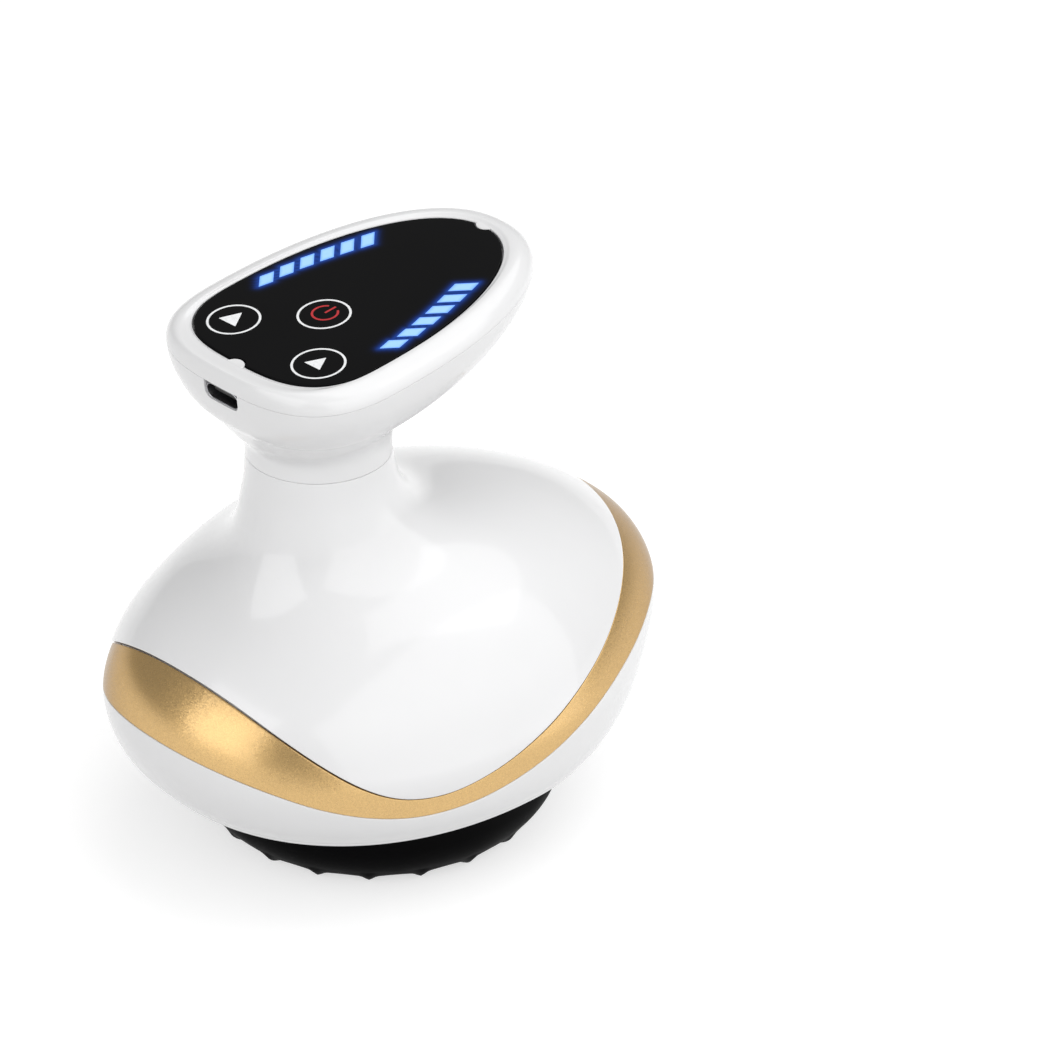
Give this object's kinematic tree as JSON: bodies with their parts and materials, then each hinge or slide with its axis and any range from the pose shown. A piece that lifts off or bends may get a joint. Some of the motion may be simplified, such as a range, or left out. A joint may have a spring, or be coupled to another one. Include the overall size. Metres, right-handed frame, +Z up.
{
  "type": "electric cupping massager",
  "caption": "Palm-held electric cupping massager with a white and gold housing, a waisted neck, a tilted handle with a black touch panel, and a round black scraping head.",
  "frame": {"origin": "centre of the bounding box's underside, on the plane that the tips of the scraping head touch", "axes": "+Z up along the scraping head's axis, +Y forward to the longer end of the egg-shaped body and the handle's nose, +X to the side; the charging socket is at -Y"},
  "size_m": [0.0942, 0.1197, 0.1157],
  "materials": {
    "white_shell": "gloss",
    "gold_paint": "metallic",
    "black_lens": "gloss",
    "black_head": "satin",
    "seal_rubber": "matte",
    "steel_small": "satin",
    "heater_aluminium": "satin",
    "red_lens": "gloss",
    "white_inner": "satin",
    "filter_foam": "matte",
    "grey_inner": "satin",
    "battery_wrap": "gloss",
    "copper_rotor": "satin",
    "clear_tube": "satin",
    "circuit_green": "satin",
    "lamp_blue": "satin",
    "socket_steel": "satin",
    "black_inner": "satin"
  },
  "bodies": {
    "body": {"body_upper_shell": "white_shell", "gold_trim_band": "gold_paint", "body_lower_shell": "white_shell", "handle_shell": "white_shell", "handle_bezel": "white_shell", "touch_lens": "black_lens", "scraping_head": "black_head", "head_seal": "seal_rubber", "head_clamp_ring": "steel_small", "heater_plate": "heater_aluminium", "light_ring": "red_lens", "suction_nozzle": "white_inner", "suction_filter": "filter_foam", "inner_chassis": "grey_inner", "battery_cell": "battery_wrap", "pump_motor_can": "steel_small", "pump_head": "grey_inner", "pump_membrane": "seal_rubber", "release_valve": "grey_inner", "valve_spring": "steel_small", "air_tee": "clear_tube", "suction_tube": "clear_tube", "pump_tube": "clear_tube", "control_board": "circuit_green", "lamp_bar_left": "lamp_blue", "lamp_bar_right": "lamp_blue", "heat_key_spring": "steel_small", "suction_key_spring": "steel_small", "power_key_spring": "steel_small", "charging_socket": "socket_steel", "socket_tongue": "black_inner", "loom_socket": "white_inner", "wire_loom": "black_inner", "case_screw_1": "steel_small", "case_screw_2": "steel_small", "case_screw_3": "steel_small", "case_screw_4": "steel_small", "chassis_screw_1": "steel_small", "chassis_screw_2": "steel_small", "chassis_screw_3": "steel_small", "chassis_screw_4": "steel_small", "board_screw_1": "steel_small", "board_screw_2": "steel_small", "board_screw_3": "steel_small", "board_screw_4": "steel_small", "head_screw_1": "steel_small", "head_screw_2": "steel_small", "head_screw_3": "steel_small", "neck_screw_1": "steel_small", "neck_screw_2": "steel_small", "neck_screw_3": "steel_small"},
    "pump_rotor": {"pump_rotor": "copper_rotor"},
    "valve_plunger": {"valve_plunger": "steel_small"}
  },
  "joints": [
    {"name": "pump_rotor_spin", "type": "hinge", "parent": "body", "child": "pump_rotor", "pos_m": [-0.0122, -0.014, 0.0383], "axis": [0, 1, 0], "continuous": true},
    {"name": "valve_plunger_slide", "type": "slide", "parent": "body", "child": "valve_plunger", "axis": [0, 0, -1], "range_m": [0, 0.001], "stiffness_N_per_m": 60, "deforming": ["valve_spring"]}
  ]
}
